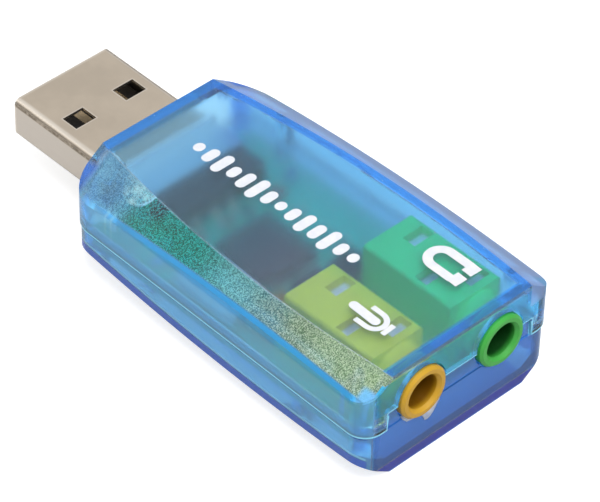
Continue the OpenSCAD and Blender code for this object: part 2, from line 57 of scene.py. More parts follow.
def corners(node):
    """Lowest and highest corner of a CAD node, to the nearest micron."""
    return [tuple(round(v / MM, 3) for v in corner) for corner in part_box(node)]


MOUNTS = {mount["name"]: mount for mount in frame["record"]["mounts"]}
(BACK_X, _, _), (END_X, _, TOP_Z) = corners("upper_shell")
(PLUG_TIP, _, _), (_, _, PLUG_TOP) = corners("usb_shell")
_, (LOWER_END, _, TAB_TOP) = corners("lower_shell")
NOSE_TIP = corners("headphone_jack_body")[1][0]
_, JACK_Y, JACK_Z = (round(v / MM, 3) for v in MOUNTS["headphone_socket"]["pos_m"])


# Node material helpers

# Widths over which a band's lower and upper side fade
FADE_IN = 0.01
FADE_OUT = 0.03


class Tree:
    """A material's node tree, with short calls for its nodes."""

    def __init__(self, name):
        self.mat = bpy.data.materials.new(name)
        self.mat.use_nodes = True
        self.nodes = self.mat.node_tree.nodes
        self.links = self.mat.node_tree.links
        self.shader = next(n for n in self.nodes if n.type == "BSDF_PRINCIPLED")
        self.out = next(n for n in self.nodes if n.type == "OUTPUT_MATERIAL")
        self.coord = self.nodes.new("ShaderNodeTexCoord").outputs["Object"]

    def put(self, socket, value):
        """Links a socket to a node's output, or sets it to a number or a colour."""
        if isinstance(value, bpy.types.NodeSocket):
            self.links.new(value, socket)
        elif socket.type == "RGBA":
            socket.default_value = (*value, 1)
        else:
            socket.default_value = value

    def set(self, **values):
        """Sets the shader's sockets; an underscore stands for a space."""
        for name, value in values.items():
            self.put(self.shader.inputs[name.replace("_", " ")], value)

    def noise(self, scale, detail, rough, coord=None):
        """Noise of so many lumps to the metre."""
        n = self.nodes.new("ShaderNodeTexNoise")
        n.inputs["Scale"].default_value = scale
        n.inputs["Detail"].default_value = detail
        n.inputs["Roughness"].default_value = rough
        self.links.new(coord or self.coord, n.inputs["Vector"])
        return n.outputs["Fac"]

    def cells(self, scale, out, feature="F1", randomness=1.0, coord=None):
        """Cells, so many to the metre."""
        n = self.nodes.new("ShaderNodeTexVoronoi")
        n.feature = feature
        n.inputs["Scale"].default_value = scale
        n.inputs["Randomness"].default_value = randomness
        self.links.new(coord or self.coord, n.inputs["Vector"])
        return n.outputs[out]

    def scaled(self, x, y, z):
        """Object coordinates in metres, stretched by a factor on each axis."""
        n = self.nodes.new("ShaderNodeMapping")
        n.inputs["Scale"].default_value = (x, y, z)
        self.links.new(self.coord, n.inputs["Vector"])
        return n.outputs["Vector"]

    def axes(self):
        """Object coordinates in millimetres."""
        n = self.nodes.new("ShaderNodeSeparateXYZ")
        self.links.new(self.coord, n.inputs["Vector"])
        return [self.times(n.outputs[axis], 1 / MM) for axis in "XYZ"]

    def math(self, op, a, b=None, clamp=False):
        n = self.nodes.new("ShaderNodeMath")
        n.operation = op
        n.use_clamp = clamp
        self.put(n.inputs[0], a)
        if b is not None:
            self.put(n.inputs[1], b)
        return n.outputs["Value"]

    def plus(self, a, b):
        return self.math("ADD", a, b)

    def less(self, a, b):
        return self.math("SUBTRACT", a, b)

    def size(self, a):
        return self.math("ABSOLUTE", a)

    def times(self, first, *others):
        for value in others:
            first = self.math("MULTIPLY", first, value)
        return first

    def most(self, first, *others):
        for value in others:
            first = self.math("MAXIMUM", first, value)
        return first

    def distance(self, a, b):
        return self.math("SQRT", self.plus(self.times(a, a), self.times(b, b)))

    def ramp(self, value, low, high, to_low=0.0, to_high=1.0):
        """Smooth change from one number to another while the value goes from low to high."""
        n = self.nodes.new("ShaderNodeMapRange")
        n.interpolation_type = "SMOOTHSTEP"
        for name, v in (("Value", value), ("From Min", low), ("From Max", high),
                        ("To Min", to_low), ("To Max", to_high)):
            self.put(n.inputs[name], v)
        return n.outputs["Result"]

    def fall(self, value, low, high):
        return self.ramp(value, low, high, 1.0, 0.0)

    def band(self, value, low, high):
        """1 between two values, 0 outside them."""
        return self.times(self.ramp(value, low, low + FADE_IN), self.fall(value, high, high + FADE_OUT))

    def mix(self, factor, a, b):
        """Colour a where the factor is 0 and b where it is 1."""
        n = self.nodes.new("ShaderNodeMix")
        n.data_type = "RGBA"
        for socket, v in ((n.inputs["Factor"], factor), (n.inputs[6], a), (n.inputs[7], b)):
            self.put(socket, v)
        return n.outputs[2]

    def bump(self, height, depth, strength):
        n = self.nodes.new("ShaderNodeBump")
        n.inputs["Distance"].default_value = depth * MM
        self.put(n.inputs["Strength"], strength)
        self.links.new(height, n.inputs["Height"])
        self.links.new(n.outputs["Normal"], self.shader.inputs["Normal"])

    def absorb(self, color, density):
        n = self.nodes.new("ShaderNodeVolumeAbsorption")
        n.inputs["Color"].default_value = (*color, 1)
        n.inputs["Density"].default_value = density
        self.links.new(n.outputs["Volume"], self.out.inputs["Volume"])


def darker(color, share):
    return tuple(c * share for c in color)


# Mesh helpers

def dress(names, tree):
    """Gives CAD nodes or pieces this material."""
    for name in names if isinstance(names, (list, tuple)) else [names]:
        data = (NODES[name] if isinstance(name, str) else name).data
        data.materials.clear()
        data.materials.append(tree.mat)


def new_object(name, bm, tree):
    """An object made from a bmesh, with this material."""
    mesh = bpy.data.meshes.new(name)
    bm.to_mesh(mesh)
    bm.free()
    obj = bpy.data.objects.new(name, mesh)
    bpy.context.scene.collection.objects.link(obj)
    dress([obj], tree)
    return obj


def piece(name, bm, tree):
    """An object that belongs to the part and rides with it."""
    obj = new_object(name, bm, tree)
    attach(obj, "root")
    return obj


def loop_at(bm, points):
    """Vertices at these points."""
    return [bm.verts.new((px * MM, py * MM, pz * MM)) for px, py, pz in points]


def wall_between(bm, low, high):
    """Faces between two loops that have the same number of points."""
    for i in range(len(low)):
        j = (i + 1) % len(low)
        bm.faces.new((low[i], low[j], high[j], high[i]))


# Housing

FLAT_X = 13.125             # where the roof's flat is widest
FLAT_HALF = 9.3             # half its width there
ARC_R = 147.0               # radius of the arc along each of its sides
BEVEL = math.radians(35)    # slope of the cones under those arcs
LEAN = 0.35                 # how far each side leans out between the plug's end and the jacks'
PARTING_Z = 5.7             # where the halves meet
TAB_HALF = 9.0              # half the width of the lower half's tab
NOTCH_TOP = TAB_TOP + 0.05  # top of the upper half's notch for that tab

# Soft edges of the housing's places: (where the change starts, where it is done).
# These are heights.
BEVEL_RISE = (9.2, 9.9)
ROOF_RISE = (10.6, 10.85)
RIM_RISE = (TOP_Z - 0.1, TOP_Z - 0.02)
FLOOR_RISE = (0.0, 0.25)
FLOOR_EDGE_RISE = (1.1, 1.3)
END_SHADE_RISE = (1.5, 5.0)
STREAK_RISE = (6.2, 9.0)
STREAK_TOP = (9.5, 10.1)
# These are places along the part.
FROST_START = (BACK_X + 0.5, BACK_X + 1.6)
PLUG_RIM = (BACK_X + 1.0, BACK_X + 1.3)
PLUG_CORNER_END = (BACK_X + 0.8, BACK_X + 1.8)
JACK_CORNER_START = (END_X - 1.9, END_X - 1.2)
JACK_RIM = (END_X - 1.25, END_X - 1.0)
END_FACE = (END_X - 0.3, END_X - 0.27)
# These are distances past the arc of the roof's flat.
FLAT_EDGE = (-0.1, 0.15)
FAR_RIM = (-1.0, -0.8)
WALL_EDGE = (0.8, 1.2)
# These are distances seen from above: inwards from the roof's cone, then outwards from the foot's.
FROST_DEPTH = (0.4, 0.6)
FOOT = (-1.7, -1.45)
FOOT_LINE = (-2.05, -1.7)   # this one is a band from one distance to the other
# These are distances from the middle, less the lean of the sides.
OUTER = (10.5, 10.8)
GRAIN_END = (11.05, 11.3)
SILL = (11.1, 11.3)
JACK_CORNER = (9.9, 10.4)
PLUG_CORNER = (8.2, 9.0)
# This one goes across the part, from the near side to the far one.
NEAR_TO_FAR = (0.0, 1.0)

UPPER_FACE_TOP = 11.4       # how high the end face keeps its own tint

# The warmer area of the roof over the microphone jack
WARM_ALONG = (4.0, 11.0)
WARM_ACROSS = (-4.5, 1.0)

NICKS = 1300                # small nicks in the roof to the metre, each in its own cell
NICK_EDGE = (0.04, 0.06)    # soft edge of a nick, as a share of its cell
SPECKS = 12500              # the frost's grains to the metre

# Haze in the frost, from the plug's end on: (where a colour begins, where it is full, the colour).
# It carries what lies under the bevel: the board's green, the grey of the chip's side and the
# microphone jack's yellow.
HAZE_AT_PLUG = (0.06, 0.24, 0.42)
HAZE = (
    (-7.5, -4.5, (0.0, 0.16, 0.12)),
    (2.5, 8.5, (0.09, 0.31, 0.34)),
    (9.5, 12.5, (0.1, 0.25, 0.28)),
    (13.5, 16.5, (0.16, 0.26, 0.17)),
    (17.0, 20.0, (0.25, 0.38, 0.24)),
)

# Round spots in the frost: (place along the part, place across it, radius)
PALE_SPOT = (-6.5, -7.7, 2.2)
DARK_SPOT = (-3.3, -8.8, 1.5)
BLUE_SPOT = (-8.8, -9.6, 1.9)
SPOT_CORE = 0.5             # radius within which the dark and the blue one are at their fullest
PALE_FADE = 0.25            # width of the pale one's soft edge
PALE_START = (-8.9, -6.8)   # where along the part it comes up
# The light line round the pale one shows past these places along and across the part
PALE_RIM_ALONG = (-7.0, -5.6)
PALE_RIM_ACROSS = (-9.9, -9.2)

# Places along the part where the frost's grains change
DARK_GRAIN_START = (-12.0, -9.0)
GREEN_GRAIN_START = (-9.0, -4.0)
PALE_GRAIN_START = (2.0, 18.0)

STREAKS = (-7.7, -6.9)      # places of two painted highlight streaks down the near wall
STREAK_HALF = 0.32


class Shell(Tree):
    """A housing material's node tree, with the measures that tell its places apart."""

    def __init__(self, name):
        super().__init__(name)
        self.x, self.y, self.z = self.axes()
        self.across = self.size(self.y)
        along_arc = self.less(self.x, FLAT_X)
        self.past_arc = self.less(self.distance(along_arc, self.plus(self.across, ARC_R - FLAT_HALF)), ARC_R)
        lean = self.times(self.less(self.x, BACK_X), LEAN / (END_X - BACK_X))
        self.outward = self.less(self.across, lean)
        self.near = self.fall(self.y, *NEAR_TO_FAR)
        self.outer = self.ramp(self.outward, *OUTER)
        speck = self.cells(SPECKS, "Color")
        more_glints = self.ramp(self.x, *GREEN_GRAIN_START, 0.5, 1.0)
        more_dark = self.ramp(self.x, *DARK_GRAIN_START, 0.5, 1.0)
        # Painted glints: light grains that stand in for the frost catching the light
        self.light = self.times(self.ramp(speck, 0.45, 0.75), more_glints)
        self.dark = self.times(self.fall(speck, 0.2, 0.45), more_dark)

    def from_spot(self, spot):
        """Distance from the centre of a round spot, seen from above."""
        return self.distance(self.less(self.x, spot[0]), self.less(self.y, spot[1]))


def roof_masks(t):
    """Places on the roof and on the bevels."""
    outside_flat = t.ramp(t.past_arc, *FLAT_EDGE)
    flat = t.times(t.ramp(t.z, *ROOF_RISE), t.less(1.0, outside_flat))
    bevel = t.times(outside_flat, t.ramp(t.z, *BEVEL_RISE))
    near_bevel = t.times(bevel, t.near)
    below_top = t.times(t.less(TOP_Z, t.z), 1 / math.tan(BEVEL))
    frost = t.times(near_bevel, t.fall(t.outward, *GRAIN_END), t.ramp(t.x, *FROST_START),
                    t.fall(t.less(below_top, t.past_arc), *FROST_DEPTH))
    ends = t.most(t.ramp(t.x, *JACK_RIM), t.fall(t.x, *PLUG_RIM))
    far_rim = t.times(t.ramp(t.past_arc, *FAR_RIM), t.ramp(t.y, *NEAR_TO_FAR))
    return {
        "flat": flat,
        "frost": frost,
        # The sill is a painted highlight: a bright blue line where the near bevel meets the wall
        "sill_highlight": t.times(near_bevel, t.ramp(t.outward, *SILL)),
        "far_bevel": t.times(bevel, t.less(1.0, t.near)),
        # The rim is a painted reflection: a deeper blue band along the roof's edge at both ends and on the
        # far side
        "rim": t.times(t.ramp(t.z, *RIM_RISE), t.most(ends, far_rim)),
        "nick": t.times(flat, t.fall(t.cells(NICKS, "Distance"), *NICK_EDGE)),
        "warm": t.times(t.ramp(t.x, *WARM_ALONG), t.fall(t.y, *WARM_ACROSS)),
    }


def wall_masks(t):
    """Places on the walls, at the corners and at the foot."""
    wall = t.times(t.outer, t.ramp(t.past_arc, *WALL_EDGE))
    near_wall = t.times(wall, t.near)
    over_foot = t.less(t.past_arc, t.times(t.z, 1 / math.tan(BEVEL)))
    lines = (t.ramp(t.size(t.less(t.x, place)), 0.0, STREAK_HALF, 0.7, 0.0) for place in STREAKS)
    return {
        "wall": wall,
        "near_wall": near_wall,
        # The streaks are painted highlights down the near wall
        "streak_highlights": t.times(t.most(*lines), near_wall, t.ramp(t.z, *STREAK_RISE), t.fall(t.z, *STREAK_TOP)),
        "jack_corner": t.times(t.ramp(t.outward, *JACK_CORNER), t.ramp(t.x, *JACK_CORNER_START)),
        "plug_corner": t.times(t.ramp(t.outward, *PLUG_CORNER), t.fall(t.x, *PLUG_CORNER_END)),
        # The floor tint is painted light from below: a blue on the bottom face and the lowest edge of the
        # walls
        "floor": t.fall(t.z, *FLOOR_RISE),
        # The foot is painted shade, a dark blue band on the lower bevel, and the foot line above it a
        # painted highlight
        "foot": t.times(t.outer, t.ramp(over_foot, *FOOT)),
        "foot_highlight": t.times(t.outer, t.band(over_foot, *FOOT_LINE)),
    }


def jack_end_masks(t):
    """Places on the end face at the jacks, round the tab and along the line where the halves meet. The ledge
    is a painted highlight along the tab and the upper half's lower edge, the gap under them a painted
    shadow, and the floor edge and the lower half's end face get painted shade, darker towards the bottom.
    """
    face = t.ramp(t.x, *END_FACE)
    beside_tab = t.ramp(t.across, TAB_HALF, TAB_HALF + 0.1)
    within_tab = t.fall(t.across, TAB_HALF, TAB_HALF + 0.1)
    tab_top = t.times(t.band(t.z, NOTCH_TOP - 0.01, NOTCH_TOP + 0.1), within_tab)
    tab_side = t.times(t.band(t.across, TAB_HALF - 0.1, TAB_HALF + 0.15), t.band(t.z, PARTING_Z, NOTCH_TOP))
    low_rim = t.times(t.band(t.z, PARTING_Z - 0.01, PARTING_Z + 0.18), t.most(t.outer, beside_tab))
    under_notch = t.times(t.band(t.z, NOTCH_TOP - 0.3, NOTCH_TOP - 0.06), face, within_tab)
    under_rim = t.times(t.band(t.z, PARTING_Z - 0.28, PARTING_Z - 0.06), t.outer)
    tab = t.times(face, t.band(t.z, PARTING_Z - 0.3, NOTCH_TOP - 0.4),
                  t.fall(t.across, TAB_HALF - 0.2, TAB_HALF - 0.1))
    below_tab = t.times(face, t.band(t.z, FLOOR_EDGE_RISE[1], PARTING_Z - 0.2))
    return {
        # Painted highlight on the ledge, painted shadow in the gap, painted shade at the floor edge and on
        # the end face below the tab
        "ledge_highlight": t.most(t.times(face, t.most(tab_top, tab_side)), low_rim),
        "gap_shadow": t.most(under_rim, under_notch),
        "floor_edge_shade": t.times(face, t.fall(t.z, *FLOOR_EDGE_RISE)),
        "sheet": t.most(below_tab, tab),
        "upper_face": t.times(face, t.band(t.z, NOTCH_TOP + 0.15, UPPER_FACE_TOP)),
    }


def frost_tint(t):
    """Colour of the frosted bevel: haze, with round spots by the plug, painted glints as light grains, and
    dark grains.
    """
    tint = HAZE_AT_PLUG
    for start, full, color in HAZE:
        tint = t.mix(t.ramp(t.x, start, full), tint, color)
    deep_spots = ((DARK_SPOT, 0.95, (0.015, 0.025, 0.05)), (BLUE_SPOT, 0.85, (0.02, 0.13, 0.28)))
    for spot, share, color in deep_spots:
        tint = t.mix(t.ramp(t.from_spot(spot), SPOT_CORE, spot[2], share, 0.0), tint, color)
    edge = PALE_SPOT[2]
    from_pale = t.from_spot(PALE_SPOT)
    pale = t.times(t.fall(from_pale, edge - PALE_FADE, edge), t.ramp(t.x, *PALE_START, 0.15, 1.0))
    pale_rim = t.times(t.ramp(from_pale, edge - PALE_FADE, edge - 0.1), t.fall(from_pale, edge, edge + 0.15),
                       t.ramp(t.y, *PALE_RIM_ACROSS), t.ramp(t.x, *PALE_RIM_ALONG))
    cloud = t.ramp(t.noise(900, 2.0, 0.6), 0.35, 0.65)
    tint = t.mix(pale, tint, t.mix(cloud, (0.08, 0.25, 0.36), (0.3, 0.52, 0.58)))
    tint = t.mix(pale_rim, tint, (0.3, 0.58, 0.78))
    # Colour of the painted glints, which changes along the part
    grain = t.mix(t.ramp(t.x, *GREEN_GRAIN_START), (0.45, 0.9, 1.0), (0.06, 0.85, 0.85))
    grain = t.mix(t.ramp(t.x, *PALE_GRAIN_START), grain, (0.95, 1.0, 0.85))
    tint = t.mix(t.times(t.light, 0.32), tint, grain)
    return t.mix(t.times(t.dark, 0.5), tint, (0.0, 0.02, 0.02))


def housing(name, color, density, wall_rough, roof_rough, milk):
    """Clear moulded plastic: matt roof, softly blurred walls and one frosted bevel."""
    t = Shell(name)
    at = {**roof_masks(t), **wall_masks(t), **jack_end_masks(t)}
    # Tint of each place and how solid it looks, laid over each other in this order
    layers = (
        # Painted light among these: painted highlights on the sill, ledge, foot line and streaks, a painted
        # reflection on the rim, painted glints in the frost, painted shade on the foot, floor edge and end
        # face, a painted shadow in the gap and painted light on the bottom face
        ("wall", (0.24, 0.68, 1.0), 0.16),
        ("frost", frost_tint(t), t.plus(0.6, t.times(t.light, 0.12))),
        ("upper_face", (0.05, 0.5, 0.85), 0.16),
        ("rim", (0.06, 0.36, 1.0), 0.24),
        ("sill_highlight", (0.05, 0.5, 1.0), 0.42),
        ("sheet", t.mix(t.ramp(t.z, *END_SHADE_RISE), (0.045, 0.17, 0.5), (0.06, 0.24, 0.64)), 0.42),
        ("far_bevel", (0.45, 0.62, 1.0), 0.3),
        ("jack_corner", (0.2, 0.58, 1.0), 0.36),
        ("plug_corner", (0.03, 0.27, 1.0), 0.32),
        ("floor_edge_shade", (0.03, 0.05, 0.45), 0.6),
        ("foot", (0.09, 0.23, 0.85), 0.5),
        ("foot_highlight", (0.3, 0.72, 1.0), 0.6),
        ("nick", (0.8, 0.9, 0.95), 0.5),
        ("streak_highlights", (0.35, 0.8, 1.0), 0.55),
        ("floor", (0.12, 0.36, 0.95), 0.2),
        ("ledge_highlight", (0.28, 0.76, 1.0), 0.85),
        ("gap_shadow", (0.01, 0.1, 0.42), 0.72),
    )
    tint = t.mix(at["warm"], (0.55, 0.78, 0.95), (0.78, 0.8, 0.95))
    solid = t.most(t.times(at["flat"], milk), t.times(at["near_wall"], 0.34))
    for place, color_there, share in layers:
        tint = t.mix(at[place], tint, color_there)
        solid = t.most(solid, t.times(at[place], share))

    rough = t.ramp(t.noise(120, 3.0, 0.5), 0.3, 0.7, wall_rough * 0.93, wall_rough * 1.07)
    for place, more in (("flat", roof_rough), ("frost", 0.02), ("far_bevel", 0.25)):
        rough = t.plus(rough, t.times(at[place], more))
    t.set(
        Base_Color=t.mix(t.math("GREATER_THAN", solid, 0.001), (1.0, 1.0, 1.0), tint),
        IOR=1.49,
        Transmission_Weight=t.math("SUBTRACT", 1.0, solid, clamp=True),
        Roughness=rough,
    )
    t.bump(t.noise(7000, 1.0, 0.6), 0.01, t.plus(t.times(at["frost"], 0.06), 0.04))
    t.absorb(color, density)
    return t


# The edges of the openings stay sharp. These say how far the openings reach.
PLUG_END_REACH = 1.5
JACK_END_REACH = 1.6
SLOT_HALF = 6.3
SLOT_Z = (3.3, 8.3)
HOLE_REACH = 3.2
NOTCH_HALF = TAB_HALF + 0.3
NOTCH_Z = (PARTING_Z - 0.4, NOTCH_TOP + 0.15)


def is_shell_edge(a, b):
    """Whether an edge belongs to a half's outer form, away from its rim, slot, notch and holes."""
    m = (a + b) / 2 / MM
    at_plug = m.x < BACK_X + PLUG_END_REACH
    at_jacks = m.x > END_X - JACK_END_REACH
    slot = at_plug and abs(m.y) < SLOT_HALF and SLOT_Z[0] < m.z < SLOT_Z[1]
    hole = at_jacks and math.hypot(abs(m.y) - JACK_Y, m.z - JACK_Z) < HOLE_REACH
    notch = at_jacks and abs(m.y) < NOTCH_HALF and NOTCH_Z[0] < m.z < NOTCH_Z[1]
    rim = abs(m.z - PARTING_Z) < 0.1
    return not (slot or hole or notch or rim)


def rounded(name, node, tree, width):
    """A copy of a CAD node with its sharp outer edges rounded, in the node's place."""
    bm = bmesh.new()
    bm.from_mesh(NODES[node].data)
    bmesh.ops.remove_doubles(bm, verts=bm.verts, dist=1e-6)
    bmesh.ops.dissolve_limit(bm, angle_limit=0.001, verts=bm.verts, edges=bm.edges)
    bm.normal_update()
    surface = BVHTree.FromBMesh(bm)
    step = 0.01 * MM
    edges = []
    for e in bm.edges:
        if len(e.link_faces) != 2 or not e.is_convex or e.calc_face_angle(0) < math.radians(15):
            continue
        a, b = (v.co for v in e.verts)
        n = (e.link_faces[0].normal + e.link_faces[1].normal).normalized()
        if is_shell_edge(a, b) and surface.ray_cast((a + b) / 2 + n * step, n)[0] is None:
            edges.append(e)
    bmesh.ops.bevel(bm, geom=edges, offset=width * MM, offset_type="OFFSET", segments=3,
                    profile=0.5, affect="EDGES", clamp_overlap=True)
    for f in bm.faces:
        f.smooth = True
    obj = piece(name, bm, tree)
    obj.data.set_sharp_from_angle(angle=math.radians(32))
    even = obj.modifiers.new("even_normals", "WEIGHTED_NORMAL")
    even.keep_sharp = True
    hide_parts(node)


upper_plastic = housing("clear_blue_upper", (0.62, 0.89, 0.985), 560, 0.2, 0.052, 0.035)
lower_plastic = housing("clear_blue_lower", (0.2, 0.72, 0.97), 560, 0.16, 0.0, 0.0)
dress("upper_shell", upper_plastic)
dress("lower_shell", lower_plastic)
rounded("upper_shell_rounded", "upper_shell", upper_plastic, 0.22)
rounded("lower_shell_rounded", "lower_shell", lower_plastic, 0.2)


# Plug

WINDOW_X = PLUG_TIP + 6.2   # centre of the windows along the plug
WINDOW_Y = 3.15             # and across it, on each side of the middle
WINDOW_LEN = 2.0
WINDOW_W = 2.5
LIP = 0.2                   # width of the painted highlight on the lip round each window
# Painted highlight along the plug's tip
TIP = (PLUG_TIP + 0.05, PLUG_TIP + 0.35)
INSIDE = (BACK_X + 0.5, BACK_X + 1.5)
# These are distances from the middle
# Painted highlight along each fold, and painted reflection on each side
FOLD_START = (5.2, 5.5)
SIDE_START = (5.9, 5.97)
# These are distances down from the plug's top
FOLD_END = (0.1, 0.25)
# Dark painted reflection line under each fold
DARK_LINE_START = (0.35, 0.5)
DARK_LINE_END = (0.65, 0.85)
SIDE_TOP = (0.7, 0.9)


def plug_metal(name, color, rough):
    """Plated sheet, with painted highlights at its tip, folds and window lips, a painted reflection on its
    sides and a dark painted reflection line under each long fold.
    """
    t = Tree(name)
    x, y, z = t.axes()
    across = t.size(y)
    down = t.less(PLUG_TOP, z)
    fine = t.noise(2600, 2.0, 0.6, coord=t.scaled(0.15, 1, 1))
    past_window = t.most(t.less(t.size(t.less(x, WINDOW_X)), WINDOW_LEN / 2),
                         t.less(t.size(t.less(across, WINDOW_Y)), WINDOW_W / 2))
    # Painted highlights on the window lips, the tip and the folds, a painted reflection on the sides and a
    # dark painted reflection line, broken up by noise, under each fold
    lip_highlight = t.fall(past_window, 0.0, LIP)
    tip = t.fall(x, *TIP)
    fold_highlight = t.times(t.ramp(across, *FOLD_START), t.fall(down, *FOLD_END))
    side_reflection = t.times(t.ramp(across, *SIDE_START), t.ramp(down, *SIDE_TOP))
    dark_reflection = t.times(t.ramp(down, *DARK_LINE_START), t.fall(down, *DARK_LINE_END),
                   t.ramp(t.noise(2200, 2.0, 0.7), 0.3, 0.6, 0.35, 0.9))
    inside = t.ramp(x, *INSIDE)
    shade = t.mix(t.ramp(t.noise(220, 3.0, 0.6), 0.3, 0.7), color, darker(color, 0.9))
    shade = t.mix(side_reflection, shade, (0.74, 0.67, 0.59))
    shade = t.mix(t.most(lip_highlight, tip, fold_highlight), shade, (0.88, 0.8, 0.7))
    shade = t.mix(dark_reflection, shade, (0.2, 0.16, 0.12))
    t.set(
        Metallic=1.0,
        Base_Color=t.mix(inside, shade, (0.74, 0.86, 0.9)),
        Roughness=t.ramp(fine, 0.3, 0.7, rough * 0.92, rough * 1.15),
    )
    t.bump(fine, 0.01, 0.1)
    return t


dress("usb_shell", plug_metal("nickel_plate", (0.73, 0.63, 0.51), 0.31))


# Moulded parts

HOLE_EDGE = (1.81, 1.9)     # soft edge of the painted shade round the middle of a jack's hole
# These are distances back from the tip of a jack's nose
HOLE_SHADE = (0.125, 1.025)
NOSE_TO_BODY = (0.925, 2.925)


def moulded(name, color, rough, grain=1800):
    t = Tree(name)
    fine = t.noise(grain, 3.0, 0.6)
    broad = t.noise(260, 2.0, 0.5)
    t.set(
        Base_Color=t.mix(t.ramp(broad, 0.35, 0.65), color, darker(color, 0.88)),
        Roughness=t.ramp(fine, 0.3, 0.7, rough * 0.85, rough * 1.15),
    )
    t.bump(fine, 0.012, 0.4)
    return t


def jack_material(name, body, nose, hole_shade_color):
    """One moulding, in its own colour at the nose. Painted light makes its body under the roof paler, and
    painted shade darkens it down the hole.
    """
    t = Tree(name)
    x, y, z = t.axes()
    fine = t.noise(1800, 3.0, 0.6)
    broad = t.noise(260, 2.0, 0.5)
    radius = t.distance(t.less(t.size(y), JACK_Y), t.less(z, JACK_Z))
    back = t.less(NOSE_TIP, x)
    # Painted shade down the hole, and painted light that makes the body under the roof paler than the nose
    painted_hole_shade = t.times(t.fall(radius, *HOLE_EDGE), t.ramp(back, *HOLE_SHADE))
    color = t.mix(t.ramp(back, *NOSE_TO_BODY), nose, body)
    color = t.mix(t.times(t.ramp(broad, 0.2, 0.8), 0.06), color, (0.0, 0.0, 0.0))
    t.set(
        Base_Color=t.mix(painted_hole_shade, color, hole_shade_color),
        Roughness=t.ramp(fine, 0.3, 0.7, 0.36, 0.48),
    )
    t.bump(fine, 0.012, 0.4)
    return t


dress("usb_insulator", moulded("black_insulator", (0.012, 0.012, 0.014), 0.4))
dress("headphone_jack_body",
      jack_material("green_jack", (0.0, 1.0, 0.25), (0.045, 0.38, 0.05), (0.003, 0.06, 0.007)))
dress("microphone_jack_body",
      jack_material("yellow_jack", (1.0, 0.95, 0.03), (0.56, 0.31, 0.012), (0.2, 0.085, 0.001)))
dress(["audio_chip", "output_capacitors"], moulded("mould_compound", (0.045, 0.045, 0.05), 0.55, 3200))
dress("power_capacitor", moulded("yellow_capacitor", (0.7, 0.36, 0.03), 0.5))
dress("ceramic_capacitors", moulded("tan_ceramic", (0.42, 0.28, 0.16), 0.5, 3000))
dress("resistors", moulded("black_ceramic", (0.02, 0.02, 0.02), 0.4, 3000))
dress("status_led", moulded("red_led", (0.6, 0.05, 0.03), 0.2, 900))


# Metal parts

def metal(name, color, rough, metallic=1.0):
    t = Tree(name)
    n = t.noise(900, 3.0, 0.6)
    t.set(
        Metallic=metallic,
        Base_Color=t.mix(t.ramp(n, 0.35, 0.65), color, darker(color, 0.85)),
        Roughness=t.ramp(n, 0.3, 0.7, rough * 0.8, rough * 1.3),
    )
    t.bump(n, 0.01, 0.3)
    return t


PLUG_CONTACTS = ["usb_contact_" + kind for kind in ("power", "data_minus", "data_plus", "ground")]
SPRINGS = [jack + "_" + kind + "_contact" for jack in ("headphone", "microphone")
           for kind in ("sleeve", "ring", "tip")]
TINNED = ["audio_chip_pins", "capacitor_terminals", "component_terminals", "crystal_base", "crystal_leads"]
dress(PLUG_CONTACTS, metal("pale_gold_plate", (0.86, 0.76, 0.58), 0.3))
dress(SPRINGS, metal("bright_spring", (0.95, 0.95, 0.95), 0.4, 0.0))
dress(TINNED, metal("tinned", (0.75, 0.75, 0.73), 0.3))
dress("solder_joints", metal("solder", (0.7, 0.7, 0.7), 0.22))
dress("crystal_can", metal("can_steel", (0.74, 0.85, 0.88), 0.3))


# Board

def board_material():
    """Green mask with a net of paler traces."""
    t = Tree("solder_mask")
    cell = t.cells(420, "Distance", "DISTANCE_TO_EDGE", 0.0, coord=t.scaled(1, 1, 0))
    trace = t.fall(cell, 0.05, 0.09)
    broad = t.noise(90, 2.0, 0.5)
    mask = t.mix(broad, (0.01, 0.6, 0.36), (0.015, 0.72, 0.44))
    t.set(
        Base_Color=t.mix(trace, mask, (0.05, 0.85, 0.55)),
        Roughness=t.ramp(broad, 0.3, 0.7, 0.28, 0.38),
    )
    t.bump(trace, 0.03, 0.5)
    return t


dress("circuit_board", board_material())


# Print on the roof

INK = 0.015                 # how far the ink stands above the roof
INK_SUNK = INK / 3          # and how far it reaches into it
LOOP_STEP = 0.001           # overlapping outlines end at different heights

# Lengths of the bars' straight parts; each bar has a round end on both sides as well
BAR_LENGTHS = (0.2, 1.0, 1.7, 0.6, 1.3, 1.9, 0.9, 0.2, 0.8, 1.6, 1.1, 1.9, 0.7, 0.2)
BARS_X = -6.9               # place of the first bar along the part
BARS_Y = -0.7               # middle line of the bars
BAR_PITCH = 1.58
BAR_W = 1.05


def ink_material():
    t = Tree("white_ink")
    n = t.noise(1500, 3.0, 0.6)
    t.set(
        Base_Color=t.mix(t.ramp(n, 0.3, 0.7), (0.66, 0.67, 0.7), (0.6, 0.62, 0.67)),
        Roughness=0.5,
    )
    t.bump(n, 0.01, 0.5)
    return t


def printed(name, outlines, tree):
    """Raised ink on the roof, from closed outlines in plan."""
    bm = bmesh.new()
    for step, outline in enumerate(outlines):
        top = TOP_Z + INK + step * LOOP_STEP
        low = loop_at(bm, [(px, py, TOP_Z - INK_SUNK) for px, py in outline])
        high = loop_at(bm, [(px, py, top) for px, py in outline])
        wall_between(bm, low, high)
        bm.faces.new(high)
        bm.faces.new(list(reversed(low)))
    bmesh.ops.recalc_face_normals(bm, faces=bm.faces)
    piece(name, bm, tree)


def capsule(x0, y0, x1, y1, w, steps=8):
    """Bar with round ends from one point to another, w wide."""
    a = math.atan2(y1 - y0, x1 - x0)
    r = w / 2
    points = []
    for cx, cy, start in ((x1, y1, a - math.pi / 2), (x0, y0, a + math.pi / 2)):
        for i in range(steps + 1):
            b = start + math.pi * i / steps
            points.append((cx + r * math.cos(b), cy + r * math.sin(b)))
    return points


